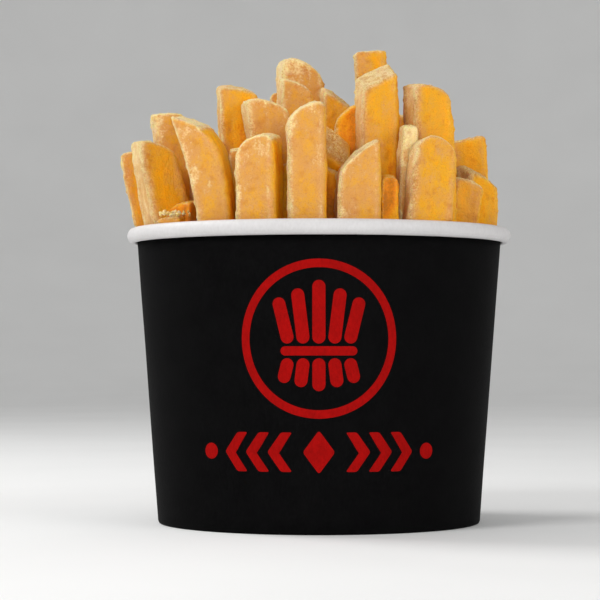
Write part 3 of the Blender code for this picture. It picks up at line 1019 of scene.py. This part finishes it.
def crumbs():
    """Loose crumbs of crust on a short fry at the left."""
    rng = random.Random(CRUMB_SEED)
    build = bmesh.new()
    spread_x, spread_y = CRUMB_SPREAD
    for _ in range(CRUMBS):
        x = rng.gauss(0, 0.5) * spread_x
        y = rng.gauss(0, 0.5) * spread_y
        place = Vector(CRUMB_PLACE) + Vector((x, y, rng.uniform(0.0, CRUMB_HEAP)))
        size = rng.uniform(*CRUMB_SIZES)
        lump = bmesh.ops.create_icosphere(build, subdivisions=2, radius=size)["verts"]
        for vert in lump:
            vert.co *= 1 + CRUMB_UNEVEN * noise.noise(vert.co / size + place)
            vert.co += place
    points, faces = mesh_lists(build)
    obj = mesh_object("crumbs", points, faces)
    set_shades(obj, [CRUMB_SHADE] * len(points))
    return obj


def heap_core():
    """Uneven filling that shows only as a dark bottom in the gaps, deep partly as painted shade."""
    inset = 2 * SHEET + WALL_CLEARANCE
    profile = [
        (1.0, BASE_TOP + 1),
        (wall_radius(BASE_TOP) - inset - 1, BASE_TOP + 1),
        (wall_radius(BASE_TOP + 2) - inset, BASE_TOP + 2),
        (wall_radius(CORE_TOP - 3) - inset, CORE_TOP - 3),
        (wall_radius(CORE_TOP) - inset - 1.5, CORE_TOP),
    ]
    profile += [(radius, CORE_TOP) for radius in (*range(48, 0, -4), 1)]

    def place(radius, height, angle):
        x, y, z = round_place(radius, height, angle)
        if height == CORE_TOP:
            z += CORE_LUMP * noise.noise(Vector((x, y, 0)) / CORE_LUMP_SIZE)
        return (x, y, z)

    obj = turned("heap_core", profile, place, closed=False)
    set_shades(obj, [CORE_SHADE] * len(obj.data.vertices))
    return obj


# Materials.


def new_material(name):
    material = bpy.data.materials.new(name)
    material.use_nodes = True
    return material, material.node_tree, material.node_tree.nodes["Principled BSDF"]


def coordinates(tree):
    """Object coordinates in millimetres."""
    source = tree.nodes.new("ShaderNodeTexCoord")
    scaled = tree.nodes.new("ShaderNodeVectorMath")
    scaled.operation = "SCALE"
    scaled.inputs["Scale"].default_value = 1 / MM
    tree.links.new(source.outputs["Object"], scaled.inputs[0])
    return scaled.outputs[0]


def noise_field(tree, where, size, detail=3.0, stretch=None):
    """Noise, mostly 0.25 to 0.75, with features of a size in millimetres, stretched along the axes."""
    if stretch:
        mapping = tree.nodes.new("ShaderNodeMapping")
        mapping.inputs["Scale"].default_value = stretch
        tree.links.new(where, mapping.inputs["Vector"])
        where = mapping.outputs["Vector"]
    node = tree.nodes.new("ShaderNodeTexNoise")
    node.inputs["Scale"].default_value = 1 / size
    node.inputs["Detail"].default_value = detail
    node.inputs["Roughness"].default_value = 0.55
    tree.links.new(where, node.inputs["Vector"])
    return node.outputs["Fac"]


def remap(tree, value, low, high, to_low=0.0, to_high=1.0):
    node = tree.nodes.new("ShaderNodeMapRange")
    numbers = {"From Min": low, "From Max": high, "To Min": to_low, "To Max": to_high}
    for socket, number in numbers.items():
        node.inputs[socket].default_value = number
    tree.links.new(value, node.inputs["Value"])
    return node.outputs["Result"]


def combine(tree, operation, first, second):
    """One arithmetic step. Each operand is a socket or a number."""
    node = tree.nodes.new("ShaderNodeMath")
    node.operation = operation
    for socket, operand in zip(node.inputs, (first, second)):
        if isinstance(operand, (int, float)):
            socket.default_value = operand
        else:
            tree.links.new(operand, socket)
    return node.outputs[0]


def product(tree, first, second):
    return combine(tree, "MULTIPLY", first, second)


def total(tree, first, second):
    return combine(tree, "ADD", first, second)


def blend_colours(tree, share, first, second):
    """Mix of two colours. Each is a socket or an sRGB colour."""
    node = tree.nodes.new("ShaderNodeMix")
    node.data_type = "RGBA"
    tree.links.new(share, node.inputs["Factor"])
    for socket, colour in zip((node.inputs[6], node.inputs[7]), (first, second)):
        if isinstance(colour, tuple):
            socket.default_value = linear(colour)
        else:
            tree.links.new(colour, socket)
    return node.outputs[2]


def ramp(tree, value, stops):
    """Colours along a value, from (place, sRGB colour) stops."""
    node = tree.nodes.new("ShaderNodeValToRGB")
    elements = node.color_ramp.elements
    while len(elements) < len(stops):
        elements.new(0.5)
    for element, (place, colour) in zip(elements, stops):
        element.position = place
        element.color = linear(colour)
    tree.links.new(value, node.inputs["Fac"])
    return node.outputs["Color"]


def add_bump(tree, shader, height, depth, strength=1.0):
    """Relief of a depth in millimetres, on top of any relief that is there."""
    node = tree.nodes.new("ShaderNodeBump")
    node.inputs["Distance"].default_value = depth * MM
    node.inputs["Strength"].default_value = strength
    tree.links.new(height, node.inputs["Height"])
    normal = shader.inputs["Normal"]
    if normal.is_linked:
        tree.links.new(normal.links[0].from_socket, node.inputs["Normal"])
    tree.links.new(node.outputs["Normal"], normal)


def paper_material(name, main, other, roughness, gloss):
    """Board with a fine fibre mottle. Roughness is a range, gloss the specular level."""
    material, tree, shader = new_material(name)
    where = coordinates(tree)
    cloud = noise_field(tree, where, CLOUD_SIZE, 2.0)
    fibre = noise_field(tree, where, FIBRE_SIZE, 4.0, (1.0, 1.0, 0.55))
    grain = noise_field(tree, where, PAPER_GRAIN_SIZE, 2.0)
    mottle = total(tree, product(tree, cloud, CLOUD_SHARE), product(tree, fibre, 1 - CLOUD_SHARE))
    tint = remap(tree, mottle, 0.38, 0.66)
    tree.links.new(blend_colours(tree, tint, main, other), shader.inputs["Base Color"])
    tree.links.new(remap(tree, fibre, 0.3, 0.7, *roughness), shader.inputs["Roughness"])
    shader.inputs["Specular IOR Level"].default_value = gloss
    add_bump(tree, shader, fibre, FIBRE_DEPTH)
    add_bump(tree, shader, grain, PAPER_GRAIN_DEPTH)
    return material


def stored_shades(tree):
    """Tone, grit and nearness to the tip, as stored at the points of a fry."""
    source = tree.nodes.new("ShaderNodeAttribute")
    source.attribute_name = "fry"
    parts = tree.nodes.new("ShaderNodeSeparateColor")
    tree.links.new(source.outputs["Color"], parts.inputs["Color"])
    # Tone and grit carry painted light and shade.
    return [parts.outputs[name] for name in ("Red", "Green", "Blue")]


def toned_skin(tree, where, tone, near_tip, blotch, mottle, grain):
    """Colour of the smooth skin: the tone of the fry, blotched, with tan patches."""
    depth = product(tree, tone, remap(tree, blotch, 0.32, 0.68, 0.6, 1.35))
    depth = total(tree, depth, remap(tree, mottle, 0.3, 0.7, -0.12, 0.16))
    depth = total(tree, depth, remap(tree, grain, 0.3, 0.7, -0.12, 0.12))
    # Paler near the tip and deeper lower down: painted shade deeper in the heap.
    depth = total(tree, depth, remap(tree, near_tip, 0.0, 1.0, 0.0, -0.1))
    skin = ramp(tree, combine(tree, "DIVIDE", depth, MOST_TONE), SKIN_TONES)
    tanned = remap(tree, noise_field(tree, where, TAN_SIZE, 5.0, (1.0, 1.0, 0.6)), 0.47, 0.6)
    tanned = product(tree, tanned, remap(tree, near_tip, 0.0, 1.0, 0.6, 0.15))
    tanned = product(tree, tanned, remap(tree, tone, 0.8, 0.45, 0.15, 1.0))
    return blend_colours(tree, tanned, skin, TAN)


def gritty_glinting_skin(tree, skin, grit_and_glint, blotch, grain, speck):
    """The skin with pale grit, partly a painted glint, and toasted grains on it."""
    patchy = product(tree, grit_and_glint, remap(tree, blotch, 0.3, 0.56))
    pale = product(tree, patchy, remap(tree, grain, 0.44, 0.58))
    skin = blend_colours(tree, pale, skin, CREAM)
    sandy = product(tree, grit_and_glint, remap(tree, speck, 0.46, 0.32, 0.0, 0.7))
    return blend_colours(tree, sandy, skin, TOASTED)


def browned_skin(tree, where, skin, near_tip, speck):
    """The skin with browned spots, more of them near the tip, and fine brown pits."""
    browned = remap(tree, noise_field(tree, where, BROWNED_SIZE, 5.0), 0.56, 0.72)
    browned = product(tree, browned, remap(tree, near_tip, 0.0, 1.0, 0.34, 0.48))
    skin = blend_colours(tree, browned, skin, BROWN)
    pitted = product(tree, remap(tree, speck, 0.4, 0.26), 0.5)
    return blend_colours(tree, pitted, skin, BROWN)


def potato_material():
    """Fried potato, from cream through gold to brown, with a rough crust and a trace of oil."""
    material, tree, shader = new_material("potato")
    where = coordinates(tree)
    tone, grit_and_glint, near_tip = stored_shades(tree)
    blotch = noise_field(tree, where, BLOTCH_SIZE, 2.0, (1.0, 1.0, 0.5))
    mottle = noise_field(tree, where, MOTTLE_SIZE, 5.0, (1.0, 1.0, 0.7))
    grain = noise_field(tree, where, GRAIN_SIZE, 4.0)
    speck = noise_field(tree, where, SPECK_SIZE, 1.0)

    # The stored tone and grit carry painted light and shade: pale lit sides and tops, deep shaded sides
    # and gaps.
    skin = toned_skin(tree, where, tone, near_tip, blotch, mottle, grain)
    skin = gritty_glinting_skin(tree, skin, grit_and_glint, blotch, grain, speck)
    skin = browned_skin(tree, where, skin, near_tip, speck)
    tree.links.new(skin, shader.inputs["Base Color"])

    oily = remap(tree, mottle, 0.35, 0.65, 0.0, 0.22)
    oily = total(tree, oily, remap(tree, speck, 0.35, 0.65, 0.0, 0.2))
    tree.links.new(total(tree, oily, LEAST_POTATO_ROUGHNESS), shader.inputs["Roughness"])
    shader.inputs["Subsurface Weight"].default_value = POTATO_GLOW
    shader.inputs["Subsurface Radius"].default_value = POTATO_GLOW_COLOUR
    shader.inputs["Subsurface Scale"].default_value = POTATO_GLOW_DEPTH * MM
    shader.inputs["Specular IOR Level"].default_value = POTATO_GLOSS
    add_bump(tree, shader, mottle, MOTTLE_DEPTH)
    add_bump(tree, shader, grain, GRAIN_DEPTH)
    add_bump(tree, shader, product(tree, speck, grit_and_glint), SPECK_DEPTH)
    return material


# Studio.


def backdrop():
    """Pale floor that curves up all round, so that no view has a horizon."""
    profile = [(1.0, 0.0), (FLOOR_MIDDLE, 0.0), (FLOOR_REACH, 0.0)]
    for step in range(1, COVE_STEPS + 1):
        angle = math.radians(90 * step / COVE_STEPS)
        profile.append((FLOOR_REACH + COVE * math.sin(angle), COVE * (1 - math.cos(angle))))
    profile.append((FLOOR_REACH + COVE, 1.4 * COVE))
    points = []
    for radius, height in profile:
        for step in range(FLOOR_STEPS):
            points.append(round_place(radius, height, math.tau * step / FLOOR_STEPS))
    obj = mesh_object("backdrop", points, ring_faces(len(profile), FLOOR_STEPS, caps=(0,)))
    material, tree, shader = new_material("pale_floor")
    tint = remap(tree, noise_field(tree, coordinates(tree), FLOOR_MOTTLE, 2.0), 0.3, 0.7)
    soft = tuple(0.985 * part for part in PALE_FLOOR)
    tree.links.new(blend_colours(tree, tint, PALE_FLOOR, soft), shader.inputs["Base Color"])
    shader.inputs["Roughness"].default_value = 0.9
    shader.inputs["Specular IOR Level"].default_value = 0.1
    obj.data.materials.append(material)
    obj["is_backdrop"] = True


def add_light(name, azimuth, elevation, distance, size, power):
    """Square area light aimed at the heap. Azimuth 0 is the camera's side, and 90 is its right."""
    light = bpy.data.lights.new(name, "AREA")
    light.size = size * MM
    light.energy = power
    obj = bpy.data.objects.new(name, light)
    a = math.radians(azimuth)
    e = math.radians(elevation)
    toward = Vector((math.sin(a) * math.cos(e), -math.cos(a) * math.cos(e), math.sin(e)))
    obj.location = (toward * distance + Vector((0, 0, TUB_HEIGHT))) * MM
    obj.rotation_mode = "QUATERNION"
    obj.rotation_quaternion = (-toward).to_track_quat("-Z", "Y")
    bpy.context.scene.collection.objects.link(obj)


def lighting():
    for light in LIGHTS:
        add_light(*light)
    world = bpy.data.worlds.new("studio")
    bpy.context.scene.world = world
    world.use_nodes = True
    world.node_tree.nodes["Background"].inputs["Color"].default_value = (1.0, 1.0, 1.0, 1.0)
    world.node_tree.nodes["Background"].inputs["Strength"].default_value = WORLD_LIGHT
    bpy.context.scene.view_settings.view_transform = "Standard"


def camera():
    """The photo's own place and angle: nearly level with the print, a little below the rim."""
    data = bpy.data.cameras.new("camera")
    data.sensor_width = SENSOR
    data.lens = FOCAL_PIXELS / PHOTO_WIDTH * SENSOR
    obj = bpy.data.objects.new("camera", data)
    obj.location = (0.0, -VIEW_DISTANCE * MM, VIEW_HEIGHT * MM)
    up = math.atan((LEVEL_PIXEL - PHOTO_WIDTH / 2) / FOCAL_PIXELS)
    left = math.atan((AXIS_PIXEL - PHOTO_WIDTH / 2) / FOCAL_PIXELS)
    obj.rotation_euler = (math.radians(90) + up, 0.0, left)
    bpy.context.scene.collection.objects.link(obj)
    bpy.context.scene.camera = obj


def make_tub():
    printed = (PRINTED_ROUGHNESS, PRINTED_GLOSS)
    black = paper_material("black_paper", BLACK_PRINT, BLACK_FIBRE, *printed)
    red = paper_material("red_print", RED_PRINT, RED_WORN, *printed)
    white = paper_material("white_board", WHITE_PAPER, GREY_PAPER, BOARD_ROUGHNESS, BOARD_GLOSS)
    add_piece(sidewall(), black, "tub_paper", "tub_wall")
    add_piece(liner(), white, "base_paper", "tub_wall")
    add_piece(rim_roll(), white, "rim_paper", "tub_rim")
    add_piece(base_disc(), white, "base_paper", "tub_base")
    add_piece(print_piece("front_print", math.radians(-90)), red, "tub_paper")
    add_piece(print_piece("back_print", math.radians(90)), red, "tub_paper")


def between(fries, low, high):
    """The fries whose tips lie between two places across the tub."""
    return {name: fry for name, fry in fries.items() if low <= fry[2][0] < high}


def make_fries():
    potato = potato_material()
    taken = []
    for foot, _, tip, *_ in FRIES.values():
        standing = Vector(tip[:2]).lerp(Vector(foot), STANDING_SHARE)
        taken.append((standing.x, standing.y))
    fill = fill_fries(taken)
    groups = {
        "fries_left": between(FRIES, -RIM_RADIUS, MIDDLE_LEFT),
        "fries_middle": between(FRIES, MIDDLE_LEFT, MIDDLE_RIGHT),
        "fries_right": between(FRIES, MIDDLE_RIGHT, RIM_RADIUS),
        "fries_back_left": between(fill, -RIM_RADIUS, 0),
        "fries_back_right": between(fill, 0, RIM_RADIUS),
        "fries_low": low_fries(taken),
    }
    others = [*FRIES.values(), *fill.values()]
    for name, members in groups.items():
        pitch = FINE_PITCH if next(iter(members)) in FRIES else COARSE_PITCH
        add_piece(fry_group(name, members, others, pitch), potato, "fried_potato", "fries")
    add_piece(crumbs(), potato, "fried_potato", "fries")
    add_piece(heap_core(), potato, "fried_potato", "fries")


make_tub()
make_fries()
backdrop()
lighting()
camera()
boxes = {"cad": CAD_BOX, "visual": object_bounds()}
{name: [list(corner) for corner in box] for name, box in boxes.items()}
